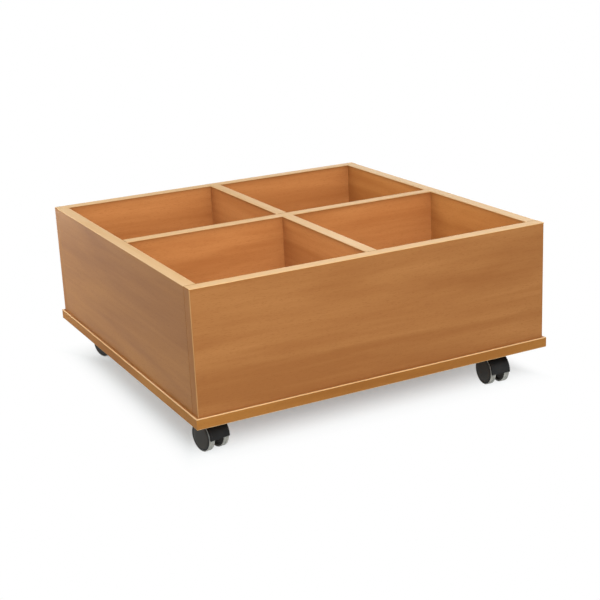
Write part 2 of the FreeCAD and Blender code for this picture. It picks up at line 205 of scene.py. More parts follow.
class StudioSettings(bpy.types.PropertyGroup):
    """Camera, floor and lamps."""

    camera_place: bpy.props.FloatVectorProperty(
        name="Camera place", description="Where the camera stands",
        subtype="TRANSLATION", unit="LENGTH", default=(-1.05569, -2.12148, 0.87867),
    )
    camera_azimuth: bpy.props.FloatProperty(
        name="Azimuth", description="Camera's angle round the bin",
        subtype="ANGLE", default=math.radians(-26.974),
    )
    camera_elevation: bpy.props.FloatProperty(
        name="Elevation", description="Camera's angle above level",
        subtype="ANGLE", default=math.radians(17.564),
    )
    camera_roll: bpy.props.FloatProperty(
        name="Roll", description="Camera's turn about its own axis",
        subtype="ANGLE", default=math.radians(-2.634),
    )
    lens: bpy.props.FloatProperty(
        name="Lens", description="Focal length in millimetres on a 36 mm sensor",
        default=76.745, min=1.0,
    )
    key_power: bpy.props.FloatProperty(
        name="Key light", description="Power of the large lamp in front",
        unit="POWER", default=57.0, min=0.0,
    )
    side_power: bpy.props.FloatProperty(
        name="Side light", description="Power of the lamp to the left and a little behind",
        unit="POWER", default=4.6, min=0.0,
    )
    sheen_power: bpy.props.FloatProperty(
        name="Sheen light", description="Power of the low lamp that shines along the left wall",
        unit="POWER", default=5.5, min=0.0,
    )
    back_power: bpy.props.FloatProperty(
        name="Back light", description="Power of the low lamp behind and to the right",
        unit="POWER", default=25.0, min=0.0,
    )
    top_strength: bpy.props.FloatProperty(
        name="Top light", description="Strength of the soft light from above",
        default=0.15, min=0.0,
    )
    inside_power: bpy.props.FloatProperty(
        name="Inside light", description="Power of the soft lamp over each compartment",
        unit="POWER", default=0.4, min=0.0,
    )
    room_strength: bpy.props.FloatProperty(
        name="Room light", description="Strength of the even light of the room",
        default=0.2, min=0.0,
    )
    floor_color: bpy.props.FloatVectorProperty(
        name="Floor", description="Colour of the studio floor",
        subtype="COLOR", default=(0.86, 0.965, 0.98), min=0.0, max=1.0,
    )
    floor_glow: bpy.props.FloatProperty(
        name="Floor glow", description="Share of plain white that the floor shows under the bin",
        subtype="FACTOR", default=0.34, min=0.0, max=1.0,
    )


# Selecting and shaping


def pick(obj):
    """Make one object the only selected one, and active."""
    bpy.ops.object.select_all(action="DESELECT")
    obj.select_set(True)
    bpy.context.view_layer.objects.active = obj


def edit(obj, kind="FACE"):
    """Open an object's mesh for editing, with nothing selected."""
    pick(obj)
    bpy.ops.object.mode_set(mode="EDIT")
    bpy.ops.mesh.select_mode(type=kind)
    bpy.ops.mesh.select_all(action="DESELECT")


def close():
    """Leave edit mode."""
    bpy.ops.object.mode_set(mode="OBJECT")


def select(obj, kind, test):
    """In edit mode, select only the verts or faces that pass a test."""
    mesh = bmesh.from_edit_mesh(obj.data)
    bpy.ops.mesh.select_all(action="DESELECT")
    for item in getattr(mesh, kind):
        if test(item):
            item.select_set(True)
    bmesh.update_edit_mesh(obj.data)


def select_flat_faces(obj, axis, place):
    """In edit mode, select the faces that lie flat at one place along an axis."""
    select(obj, "faces", lambda face: all(abs(v.co[axis] - place) < NEAR for v in face.verts))


def inset_by_steps(steps):
    """Inset the selected face step by step, each step an inset and a rise in millimetres."""
    for inset, rise in steps:
        bpy.ops.mesh.inset(thickness=inset * MM, depth=rise * MM)


def extrude_along_x(distance):
    """Extrude what is selected along the X axis."""
    shift = (distance, 0.0, 0.0)
    bpy.ops.mesh.extrude_region_move(TRANSFORM_OT_translate={"value": shift})


def new_primitive(name):
    """Name the primitive that was just added and put its place in its mesh."""
    obj = bpy.context.object
    obj.name = name
    obj.data.name = name
    bpy.ops.object.transform_apply(location=True, rotation=True, scale=True)
    return obj


def add_cylinder(name, radius, length, spot, along="Z", sides=96, ends="NGON"):
    """Cylinder about a spot, with its axis along X or Z."""
    bpy.ops.object.select_all(action="DESELECT")
    turn = (0.0, RIGHT_ANGLE, 0.0) if along == "X" else (0.0, 0.0, 0.0)
    bpy.ops.mesh.primitive_cylinder_add(
        vertices=sides, radius=radius, depth=length, end_fill_type=ends, location=spot,
        rotation=turn,
    )
    return new_primitive(name)


def add_block(name, low, high):
    """Block between two corners."""
    bpy.ops.object.select_all(action="DESELECT")
    low, high = Vector(low), Vector(high)
    bpy.ops.mesh.primitive_cube_add(size=1.0, location=(low + high) / 2)
    bpy.context.object.scale = high - low
    return new_primitive(name)


def run_modifier(obj, kind, **settings):
    """Add a modifier, set it and apply it."""
    pick(obj)
    modifier = obj.modifiers.new(kind.lower(), kind)
    for name, setting in settings.items():
        setattr(modifier, name, setting)
    bpy.ops.object.modifier_apply(modifier=modifier.name)


def round_edges(obj, width, segments=2, angle=35.0):
    """Round every edge that is sharper than an angle in degrees."""
    run_modifier(
        obj, "BEVEL", width=width, segments=segments, limit_method="ANGLE",
        angle_limit=math.radians(angle), harden_normals=False,
    )


def tidy_mesh(obj):
    """Merge doubles and point all faces outwards."""
    edit(obj)
    bpy.ops.mesh.select_all(action="SELECT")
    bpy.ops.mesh.remove_doubles(threshold=NEAR)
    bpy.ops.mesh.normals_make_consistent(inside=False)
    close()


def joined(name, parts):
    """Several meshes as one object."""
    pick(parts[0])
    for part in parts[1:]:
        part.select_set(True)
    bpy.ops.object.join()
    parts[0].name = name
    parts[0].data.name = name
    return parts[0]


def smooth(obj):
    """Smooth shading with the sharp edges kept."""
    pick(obj)
    bpy.ops.object.shade_smooth_by_angle(angle=SMOOTH_ANGLE)


def copy_of(obj, name):
    """Copy of an object with its own mesh."""
    pick(obj)
    bpy.ops.object.duplicate(linked=False)
    twin = bpy.context.object
    twin.name = name
    twin.data.name = name
    return twin


def settle(obj, spot, turn):
    """Turn an object about the origin, move it to a spot and put its place in its mesh."""
    pick(obj)
    obj.rotation_euler = (0.0, 0.0, turn)
    obj.location = spot
    bpy.ops.object.transform_apply(location=True, rotation=True, scale=True)


def discard(obj):
    """Delete a pattern or a cutting block that is no longer needed."""
    pick(obj)
    bpy.ops.object.delete()


def corners(x, y):
    """The four points that lie x and y from the origin."""
    return [(column, row) for column in (-x, x) for row in (-y, y)]


# Castors are modelled with the swivel axis on the Z axis and the axle along X, then settled


def castor_turn(castor):
    """How far a castor is turned about its swivel axis at rest."""
    axis = joint(f"{castor}_right_wheel_spin")["axis"]
    return math.atan2(axis[1], axis[0])


def castor_spot(castor):
    """The point of the floor under a castor's swivel axis."""
    x, y, _ = joint(f"{castor}_swivel")["pos_m"]
    return Vector((x, y, 0.0))


def axle_point(castors, x=0.0):
    """A point on the pattern castor's axle."""
    return Vector((x, -castors.trail, castors.wheel_radius))


# Materials


EVEN = (1.0, 1.0, 1.0)

# The values that a noise mostly lies between, taken widely and closely
WIDE_RANGE = (0.3, 0.7)
CLOSE_RANGE = (0.35, 0.65)
DUST_RANGE = (0.35, 0.62)

# How often beech's patterns repeat in a metre along the grain and across it
FIGURE_SCALE = (2.2, 17.0)
STREAK_SCALE = (5.0, 110.0)
FLECK_SCALE = (150.0, 1500.0)

# How much of beech's tone is figure, the rest being streaks
FIGURE_SHARE = 0.76
# The tones that get beech's dark and light colours
TONE_RANGE = (0.36, 0.64)

# The noise values between which flecks come up, and how strong they get
FLECK_RANGE = (0.60, 0.70)
FLECK_STRENGTH = 0.36

# The normal's largest part where a strip of edging is flat and where the painted highlight on its
# arris is full
FLAT_TO_ARRIS_HIGHLIGHT = (0.995, 0.94)
# The normal's upward part where the painted light on a strip's top begins and where it is full
SIDE_TO_LIT_TOP = (0.12, 0.5)

GRAIN_HEIGHT = 0.05 * MM
DUST_HEIGHT = 0.05 * MM
LAMINATE_GLOSS = 0.05
MOULDING_GLOSS = 0.14
FLOOR_GLOSS = 0.1


def shade(color, factor):
    """A colour made lighter or darker."""
    return tuple(channel * factor for channel in color)


def with_alpha(setting):
    """A colour with its alpha; anything else stays as it is."""
    if isinstance(setting, (tuple, list)) and len(setting) == 3:
        return (*setting, 1.0)
    return setting


class Recipe:
    """Node tree of one material, built step by step."""

    def __init__(self, name):
        self.material = bpy.data.materials.new(name)
        self.material.use_nodes = True
        self.tree = self.material.node_tree
        self.shader = self.tree.nodes["Principled BSDF"]

    def node(self, kind, **settings):
        """Add a node; each setting is an option or a socket of it."""
        item = self.tree.nodes.new(kind)
        for name, setting in settings.items():
            self.set(item, name, setting)
        return item

    def set(self, item, name, setting):
        """Set a node's option, or fill or link a socket, named or numbered as in _0."""
        if hasattr(item, name):
            setattr(item, name, setting)
            return
        number = name[1:]
        socket = item.inputs[int(number) if number.isdigit() else name.replace("_", " ")]
        if isinstance(setting, bpy.types.NodeSocket):
            self.tree.links.new(setting, socket)
        elif hasattr(setting, "outputs"):
            self.tree.links.new(setting.outputs[0], socket)
        else:
            socket.default_value = setting

    def coords(self, scale=EVEN):
        """Object coordinates, stretched."""
        texture = self.node("ShaderNodeTexCoord")
        mapping = self.node("ShaderNodeMapping", Vector=texture.outputs["Object"])
        mapping.inputs["Scale"].default_value = scale
        return mapping

    def noise(self, frequency=1.0, scale=EVEN, detail=3.0, roughness=0.5, distortion=0.0):
        """Noise on stretched object coordinates."""
        return self.node(
            "ShaderNodeTexNoise", Vector=self.coords(scale), Scale=frequency, Detail=detail,
            Roughness=roughness, Distortion=distortion,
        )

    def math(self, operation, first, second=0.0):
        """Arithmetic on two values."""
        return self.node("ShaderNodeMath", operation=operation, _0=first, _1=second)

    def spread(self, source, low, high, to_low=0.0, to_high=1.0):
        """Stretch a value from one range to another, clamped."""
        return self.node(
            "ShaderNodeMapRange", _0=source, _1=low, _2=high, _3=to_low, _4=to_high
        )

    def mix(self, factor, first, second):
        """Mix of two colours."""
        item = self.node(
            "ShaderNodeMix", data_type="RGBA", _0=factor, _6=with_alpha(first),
            _7=with_alpha(second),
        )
        return item.outputs[2]

    def uneven(self, source, middle_value, below, above):
        """Value that goes a little below and above a middle value with a noise."""
        return self.spread(source, *WIDE_RANGE, middle_value - below, middle_value + above)

    def bump(self, height, strength, distance):
        """Bump from a height value."""
        item = self.node("ShaderNodeBump", Strength=strength, Distance=distance, Height=height)
        self.tree.links.new(item.outputs[0], self.shader.inputs["Normal"])

    def finish(self, **settings):
        """Fill the shader's sockets."""
        for name, setting in settings.items():
            self.set(self.shader, name, with_alpha(setting))
        return self.material


def beech(recipe, grain, dark, light, fleck):
    """Colour, tone, figure and relief of beech: soft figure, fine streaks and short flecks."""

    def along_grain(scale):
        return tuple(scale[0] if axis == grain else scale[1] for axis in "XYZ")

    figure = recipe.noise(scale=along_grain(FIGURE_SCALE), distortion=0.8)
    streaks = recipe.noise(scale=along_grain(STREAK_SCALE), roughness=0.55, distortion=0.2)
    tone = recipe.math(
        "ADD", recipe.math("MULTIPLY", figure, FIGURE_SHARE),
        recipe.math("MULTIPLY", streaks, 1.0 - FIGURE_SHARE),
    )
    ground = recipe.mix(recipe.spread(tone, *TONE_RANGE), dark, light)
    dashes = recipe.noise(scale=along_grain(FLECK_SCALE), detail=1.0, roughness=0.4)
    flecks = recipe.spread(dashes, *FLECK_RANGE, 0.0, FLECK_STRENGTH)
    relief = recipe.math("SUBTRACT", streaks, flecks)
    return recipe.mix(flecks, ground, fleck), tone, figure, relief


def laminate(name, grain, finish, dark, light):
    """Satin beech laminate of the boards' faces."""
    recipe = Recipe(name)
    color, _, figure, relief = beech(recipe, grain, dark[:], light[:], finish.fleck[:])
    recipe.bump(relief, strength=0.10, distance=GRAIN_HEIGHT)
    shine = recipe.uneven(figure, finish.sheen_roughness, below=0.03, above=0.04)
    return recipe.finish(Base_Color=color, Roughness=shine, Specular_IOR_Level=LAMINATE_GLOSS)


def lipping(name, grain, finish, dark, light, arris, gloss):
    """Edging of the boards: board tone on its sides, a painted highlight on its arrises and
    painted light on top.
    """
    recipe = Recipe(name)
    color, tone, _, relief = beech(recipe, grain, dark[:], light[:], finish.fleck[:])
    # The pale tone is painted light: it goes on faces that look up, as if lit from above, and in
    # part on rounded arrises as a painted highlight
    pale = recipe.mix(
        recipe.spread(tone, *TONE_RANGE), finish.lit_top_dark_grain[:], finish.lit_top_light_grain[:]
    )
    texture = recipe.node("ShaderNodeTexCoord")
    normal = recipe.node("ShaderNodeSeparateXYZ", Vector=texture.outputs["Normal"])
    x, y, z = (recipe.math("ABSOLUTE", part) for part in normal.outputs)
    largest = recipe.math("MAXIMUM", recipe.math("MAXIMUM", x, y), z)
    # Painted highlight on the rounded arrises
    rounded = recipe.spread(largest, *FLAT_TO_ARRIS_HIGHLIGHT, 0.0, arris)
    # Painted light on the faces that look up
    upward = recipe.spread(normal.outputs["Z"], *SIDE_TO_LIT_TOP)
    color = recipe.mix(recipe.math("MAXIMUM", rounded, upward), color, pale)
    recipe.bump(relief, strength=0.12, distance=GRAIN_HEIGHT)
    return recipe.finish(Base_Color=color, Roughness=0.5, Specular_IOR_Level=gloss)


def plywood(name):
    """Bare birch plywood with its veneers in layers."""
    recipe = Recipe(name)
    layers = recipe.node(
        "ShaderNodeTexWave", Vector=recipe.coords(), wave_type="BANDS", bands_direction="X",
        Scale=180.0, Distortion=0.6, Detail=2.0,
    )
    color = recipe.mix(layers, linear(176, 138, 92), linear(214, 182, 134))
    return recipe.finish(Base_Color=color, Roughness=0.7)


def moulding(name, color, roughness, grain_height):
    """Moulded plastic with a fine spark-eroded texture."""
    recipe = Recipe(name)
    texture = recipe.noise(2600.0, detail=2.0)
    clouds = recipe.noise(45.0)
    tone = recipe.mix(recipe.spread(clouds, *CLOSE_RANGE), color, shade(color, 1.35))
    recipe.bump(texture, strength=0.35, distance=grain_height)
    shine = recipe.uneven(clouds, roughness, below=0.05, above=0.06)
    return recipe.finish(Base_Color=tone, Roughness=shine, Specular_IOR_Level=MOULDING_GLOSS)


def rubber(name, color):
    """Grey tread rubber, a little dusty."""
    recipe = Recipe(name)
    dust = recipe.noise(160.0, detail=4.0, roughness=0.65)
    tone = recipe.mix(recipe.spread(dust, *DUST_RANGE), shade(color, 0.72), color)
    recipe.bump(dust, strength=0.3, distance=DUST_HEIGHT)
    return recipe.finish(Base_Color=tone, Roughness=0.68)


def zinc(name, color, roughness):
    """Bright zinc plate on steel."""
    recipe = Recipe(name)
    spangle = recipe.noise(320.0)
    tone = recipe.mix(recipe.spread(spangle, *CLOSE_RANGE), shade(color, 0.82), color)
    shine = recipe.uneven(spangle, roughness, below=0.06, above=0.08)
    return recipe.finish(Base_Color=tone, Roughness=shine, Metallic=1.0)


def dress(nodes, material):
    """Give CAD nodes a better material."""
    for node in nodes:
        obj = frame["nodes"][node]
        obj.data.materials.clear()
        obj.data.materials.append(material)


def cover(obj, body, slot, *nodes):
    """Tie a finished piece to the body it rides on and hide the nodes it stands for; the slot is
    not used.
    """
    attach(obj, body)
    if nodes:
        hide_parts(*nodes)


# Pieces


class BIN_OT_boards(bpy.types.Operator):
    """Give the walls, dividers, base board and tongues their boards' finish"""

    bl_idname = "browser_bin.boards"
    bl_label = "Finish the boards"

    def execute(self, context):
        finish = context.scene.bin_boards
        tones = (finish, finish.board_dark, finish.board_light)
        # The side walls get a copy of the board tones with painted shade: a little darker and
        # less blue
        shaded_side_tones = (finish, finish.side_dark, finish.side_light)
        dress((*WALLS_ALONG_X, "base_board"), laminate("beech_laminate_along_x", "X", *tones))
        dress(("long_divider",), laminate("beech_laminate_along_y", "Y", *tones))
        dress(SIDE_WALLS, laminate("beech_laminate_sides", "Y", *shaded_side_tones))
        dress(("corner_tongues",), plywood("birch_plywood"))
        return {"FINISHED"}


class BIN_OT_edging(bpy.types.Operator):
    """Give the strips of edging their finish, with painted light on their tops and painted
    highlights on their arrises
    """

    bl_idname = "browser_bin.edging"
    bl_label = "Finish the edging"

    # How strong the painted highlight on the rounded arrises is, from 0, as the sides, to 1, as
    # the painted light on top
    rim_arris_highlight = 0.25
    base_arris_highlight = 0.8
    upright_arris_highlight = 0.3
    gloss = 0.03
    upright_gloss = 0.075

    def execute(self, context):
        finish = context.scene.bin_boards
        rim = (finish, finish.lip_dark, finish.lip_light, self.rim_arris_highlight, self.gloss)
        dress(RIM_ALONG_X, lipping("beech_rim_along_x", "X", *rim))
        dress(RIM_ALONG_Y, lipping("beech_rim_along_y", "Y", *rim))
        base = (finish, finish.lip_dark, finish.lip_light, self.base_arris_highlight, self.gloss)
        dress(BASE_ALONG_X, lipping("beech_base_edging_along_x", "X", *base))
        dress(BASE_ALONG_Y, lipping("beech_base_edging_along_y", "Y", *base))
        # The upright strips take the side walls' painted shade and a painted highlight on their
        # arrises
        upright = lipping(
            "beech_edging_upright", "Z", finish, finish.side_dark, finish.side_light,
            self.upright_arris_highlight, self.upright_gloss,
        )
        dress(UPRIGHT_STRIPS, upright)
        return {"FINISHED"}


class BIN_OT_wheels(bpy.types.Operator):
    """Model the castor wheels, each a domed disc with a grooved tread"""

    bl_idname = "browser_bin.wheels"
    bl_label = "Castor wheels"

    dome_rise = 0.9 * MM
    tread_depth = 1.6 * MM
    tread_overlap = 0.2 * MM
    tread_rounding = 0.5 * MM
    rib_width = 3.5 * MM
    groove_side = 0.4 * MM
    groove_depth = 0.7 * MM
    # Steps of the outer face from its rim inwards: a fine lip, the ring, a groove and the dome
    dome = (
        (0.3, 0.3), (2.2, 0.0), (0.3, -0.6), (0.5, 0.0), (0.5, 0.8), (3.0, 0.2), (4.5, 0.15),
        (5.0, 0.05),
    )
    # Steps of the inner face from its rim inwards: the rim, the recess and the hub's side
    recess = ((2.6, 0.0), (0.6, -3.5), (12.0, 0.0), (0.4, 3.3))
    bore_radius = 3.05 * MM
    bore_depth = 9.0 * MM
    bore_taper = 0.01 * MM
    disc_rounding = 0.25 * MM
    ring_width = 3.1 * MM
    # Share of a wheel's width, from its inner face, past which the ring is dark
    ring_start = 0.6
    moulded_grain = 0.02 * MM

    def make_tread(self, castors):
        """Tread as a band with two ribs and a groove between them."""
        width = castors.wheel_width - self.dome_rise
        spot = axle_point(castors, castors.wheel_gap / 2 + width / 2)
        tread = add_cylinder(
            "tread", castors.wheel_radius, width, spot, along="X", ends="NOTHING"
        )
        edit(tread)
        bpy.ops.mesh.select_all(action="SELECT")
        bpy.ops.mesh.inset(thickness=self.rib_width, use_boundary=True)
        bpy.ops.mesh.inset(thickness=self.groove_side, use_boundary=True)
        bpy.ops.transform.shrink_fatten(value=-self.groove_depth)
        close()
        run_modifier(tread, "SOLIDIFY", thickness=self.tread_depth, offset=-1.0)
        tidy_mesh(tread)
        round_edges(tread, self.tread_rounding, segments=3)
        smooth(tread)
        return tread

    def make_disc(self, castors):
        """Disc with a domed outer face, a recessed inner face and a blind bore for the axle."""
        radius = castors.wheel_radius - self.tread_depth + self.tread_overlap
        inner = castors.wheel_gap / 2
        outer = castors.wheel_gap / 2 + castors.wheel_width - self.dome_rise
        spot = axle_point(castors, (inner + outer) / 2)
        disc = add_cylinder("disc", radius, outer - inner, spot, along="X")
        edit(disc)
        select_flat_faces(disc, 0, outer)
        inset_by_steps(self.dome)
        select_flat_faces(disc, 0, inner)
        inset_by_steps(self.recess)
        hub_radius = radius - sum(inset for inset, _ in self.recess) * MM
        bpy.ops.mesh.inset(thickness=hub_radius - self.bore_radius, depth=0.0)
        bpy.ops.mesh.inset(thickness=self.bore_taper, depth=-self.bore_depth)
        close()
        round_edges(disc, self.disc_rounding, angle=25.0)
        smooth(disc)
        return disc

    def darken_ring(self, disc, castors, finish):
        """Give the outer ring of the disc its darker finish."""
        axle = axle_point(castors)
        limit = castors.wheel_radius - self.tread_depth - self.ring_width
        start = castors.wheel_gap / 2 + castors.wheel_width * self.ring_start
        disc.data.materials.append(finish)
        edit(disc)
        select(
            disc, "faces",
            lambda face: all(
                v.co.x > start and (v.co - axle).yz.length > limit for v in face.verts
            ),
        )
        disc.active_material_index = 1
        bpy.ops.object.material_slot_assign()
        close()

    def execute(self, context):
        castors = context.scene.bin_castors
        grain = self.moulded_grain
        disc_finish = moulding("wheel_moulding", castors.disc_color[:], 0.42, grain)
        tread_finish = rubber("tread_rubber", castors.tread_color[:])
        ring_finish = moulding("wheel_ring_moulding", castors.hood_color[:], 0.5, grain)
        patterns = {"disc": self.make_disc(castors), "tread": self.make_tread(castors)}
        patterns["disc"].data.materials.append(disc_finish)
        patterns["tread"].data.materials.append(tread_finish)
        self.darken_ring(patterns["disc"], castors, ring_finish)
        about_axle = Vector((0.0, -2 * castors.trail, 0.0))
        for castor in CASTORS:
            for side in ("left", "right"):
                wheel = f"{castor}_{side}_wheel"
                for part, pattern in patterns.items():
                    piece = copy_of(pattern, f"{wheel}_{part}")
                    if side == "left":
                        settle(piece, about_axle, HALF_TURN)
                    settle(piece, castor_spot(castor), castor_turn(castor))
                    cover(piece, f"{castor}_wheel_{side}", "castor_wheel", wheel)
        for pattern in patterns.values():
            discard(pattern)
        return {"FINISHED"}


class BIN_OT_hoods(bpy.types.Operator):
    """Model the castors' moulded hoods with their webs and bosses"""

    bl_idname = "browser_bin.hoods"
    bl_label = "Castor hoods"

    # Angles of the hood's ends from level: the front lip lies below it, the back edge above it
    front_angle = math.radians(1)
    back_angle = math.radians(40)
    sweep_steps = 48
    bead_width = 3.8 * MM
    bead_height = 0.5 * MM
    bead_slope = 0.3 * MM
    shell_rounding = 0.35 * MM
    web_clearance = 0.4 * MM
    web_rounding = 0.5 * MM
    boss_radius = 6.0 * MM
    # How far the rib stays under the shell's outer face and short of the swivel axis
    rib_drop = 0.4 * MM
    rib_gap = 0.3 * MM
    stem_radius = 7.65 * MM
    stem_foot = 20.0 * MM
    stem_rounding = 0.6 * MM
    pin_bore_radius = 4.05 * MM
    moulded_grain = 0.03 * MM

    def outward(self):
        """Direction from the axle to the hood's front lip."""
        return Vector((0.0, -math.cos(self.front_angle), -math.sin(self.front_angle)))

    def section(self, name, castors, half_width, low, high):
        """Flat section at the hood's front lip, between two radii."""
        bpy.ops.object.select_all(action="DESELECT")
        bpy.ops.mesh.primitive_plane_add(
            size=1.0, location=axle_point(castors) + self.outward() * (low + high) / 2,
            rotation=(HALF_TURN + self.front_angle, 0.0, 0.0),
        )
        bpy.context.object.scale = (2 * half_width, high - low, 1.0)
        return new_primitive(name)

    def sweep(self, obj, castors):
        """Swing a section about the axle from the hood's front lip to its back edge."""
        edit(obj)
        bpy.ops.mesh.select_all(action="SELECT")
        bpy.ops.mesh.spin(
            steps=self.sweep_steps, angle=HALF_TURN + self.front_angle - self.back_angle,
            center=axle_point(castors), axis=(1.0, 0.0, 0.0),
        )
        close()
        tidy_mesh(obj)

    def select_edge(self, shell, place, test=None):
        """In edit mode, select the section's verts at one place along X that pass a test."""
        select(
            shell, "verts",
            lambda vert: abs(vert.co.x - place) < NEAR and (test is None or test(vert)),
        )

    def make_shell(self, castors):
        """Hood's shell with a bead along each side."""
        inner = castors.hood_radius - castors.hood_thickness
        outer = castors.hood_radius - self.bead_height
        main = castors.hood_half_width - self.bead_width
        axle, out = axle_point(castors), self.outward()
        shell = self.section("shell", castors, main, inner, outer)

        def is_outer(vert):
            return (vert.co - axle).dot(out) > inner + NEAR

        edit(shell, "VERT")
        for side in (-1, 1):
            foot = main * side
            crest = foot + self.bead_slope * side
            self.select_edge(shell, foot)
            extrude_along_x(self.bead_slope * side)
            self.select_edge(shell, crest, is_outer)
            bpy.ops.transform.translate(value=out * self.bead_height)
            self.select_edge(shell, crest)
            extrude_along_x((self.bead_width - self.bead_slope) * side)
        close()
        self.sweep(shell, castors)
        round_edges(shell, self.shell_rounding, segments=3, angle=30.0)
        return shell

    def make_web(self, castors):
        """Web between the wheels, with the boss that carries the axle and the rib to the stem."""
        half = castors.wheel_gap / 2 - self.web_clearance
        edge = castors.hood_radius - castors.hood_thickness / 2
        web = self.section("web", castors, half, 0.0, edge)
        self.sweep(web, castors)
        boss = add_cylinder(
            "boss", self.boss_radius, 2 * half, axle_point(castors), along="X", sides=48
        )
        rise = math.sqrt(castors.hood_radius ** 2 - castors.trail ** 2)
        rib = add_block(
            "rib", (-half, -castors.trail, self.stem_foot),
            (half, -self.rib_gap, castors.wheel_radius + rise - self.rib_drop),
        )
        parts = [web, boss, rib]
        for part in parts:
            round_edges(part, self.web_rounding, angle=60.0)
        return parts

    def make_stem(self):
        """Stem boss, bored for the swivel pin."""
        spot = (0.0, 0.0, (self.stem_foot + STEM_TOP) / 2)
        height = STEM_TOP - self.stem_foot
        stem = add_cylinder("stem", self.stem_radius, height, spot, sides=64, ends="NOTHING")
        wall = self.stem_radius - self.pin_bore_radius
        run_modifier(stem, "SOLIDIFY", thickness=wall, offset=-1.0)
        tidy_mesh(stem)
        round_edges(stem, self.stem_rounding, segments=3, angle=60.0)
        return stem

    def execute(self, context):
        castors = context.scene.bin_castors
        finish = moulding("hood_moulding", castors.hood_color[:], 0.45, self.moulded_grain)
        parts = [self.make_shell(castors), *self.make_web(castors), self.make_stem()]
        pattern = joined("hood", parts)
        smooth(pattern)
        pattern.data.materials.append(finish)
        for castor in CASTORS:
            piece = copy_of(pattern, f"{castor}_castor_hood")
            settle(piece, castor_spot(castor), castor_turn(castor))
            cover(piece, f"{castor}_castor", "castor_hood", f"{castor}_castor_housing")
        discard(pattern)
        return {"FINISHED"}


class BIN_OT_fittings(bpy.types.Operator):
    """Finish the castor plates and axles, and add the screws"""

    bl_idname = "browser_bin.fittings"
    bl_label = "Plates, axles and screws"

    plate_color = (0.68, 0.69, 0.70)
    axle_color = (0.55, 0.55, 0.56)
    plate_thickness = 2.5 * MM
    plate_reach = 15.0 * MM
    pan_radius = 4.0 * MM
    pan_height = 2.2 * MM
    pan_dome = 1.3 * MM
    flush_radius = 4.6 * MM
    flush_height = 0.25 * MM
    flush_dome = 0.1 * MM
    # Turn in degrees from one screw to the next, so that no two recesses line up
    pan_turn = 23
    flush_turn = 31
    # Shares of a screw head's radius and height
    recess_reach = 0.52
    recess_half_width = 0.11
    recess_floor = 0.35
    wall_spread = 230.0 * MM
    divider_spread = 170.0 * MM

    def make_screw(self, name, radius, height, top, dome):
        """Screw head that hangs under a face at height top, with a cross recess."""
        foot = top - height
        head = add_cylinder(name, radius, height, (0.0, 0.0, top - height / 2), sides=32)
        edit(head)
        select_flat_faces(head, 2, foot)
        bpy.ops.mesh.bevel(offset=dome, segments=4, affect="EDGES")
        close()
        low, high = foot - MM, top - height * self.recess_floor
        reach, half = radius * self.recess_reach, radius * self.recess_half_width
        for x, y in ((reach, half), (half, reach)):
            blade = add_block("blade", (-x, -y, low), (x, y, high))
            run_modifier(head, "BOOLEAN", operation="DIFFERENCE", solver="EXACT", object=blade)
            discard(blade)
        smooth(head)
        return head

    def place_screws(self, pattern, name, middle_spot, places, turn):
        """Copy a screw to places about a spot, each turned a little further."""
        for number, (x, y) in enumerate(places, start=1):
            piece = copy_of(pattern, f"{name}_{number}")
            settle(piece, middle_spot + Vector((x, y, 0.0)), math.radians(turn * number))
            cover(piece, "bin", "castor_plate")

    def execute(self, context):
        steel = zinc("zinc_plate", self.plate_color, roughness=0.34)
        axle_steel = zinc("axle_steel", self.axle_color, roughness=0.28)
        dress([f"{castor}_castor_plate" for castor in CASTORS], steel)
        dress([f"{castor}_axle" for castor in CASTORS], axle_steel)

        plate_foot = BASE_FOOT - self.plate_thickness
        pan = self.make_screw("pan", self.pan_radius, self.pan_height, plate_foot, self.pan_dome)
        pan.data.materials.append(steel)
        holes = corners(self.plate_reach, self.plate_reach)
        for castor in CASTORS:
            name = f"{castor}_plate_screw"
            self.place_screws(pan, name, castor_spot(castor), holes, self.pan_turn)
        discard(pan)

        flush = self.make_screw(
            "flush", self.flush_radius, self.flush_height, BASE_FOOT, self.flush_dome
        )
        flush.data.materials.append(steel)
        side, front = middle("right_panel").x, middle("back_panel").y
        spots = corners(self.wall_spread, front) + corners(side, self.wall_spread)
        spots += [(x, 0.0) for x in (-self.divider_spread, self.divider_spread)]
        spots += [(0.0, y) for y in (-self.divider_spread, self.divider_spread)]
        self.place_screws(flush, "base_screw", Vector(), spots, self.flush_turn)
        discard(flush)
        return {"FINISHED"}


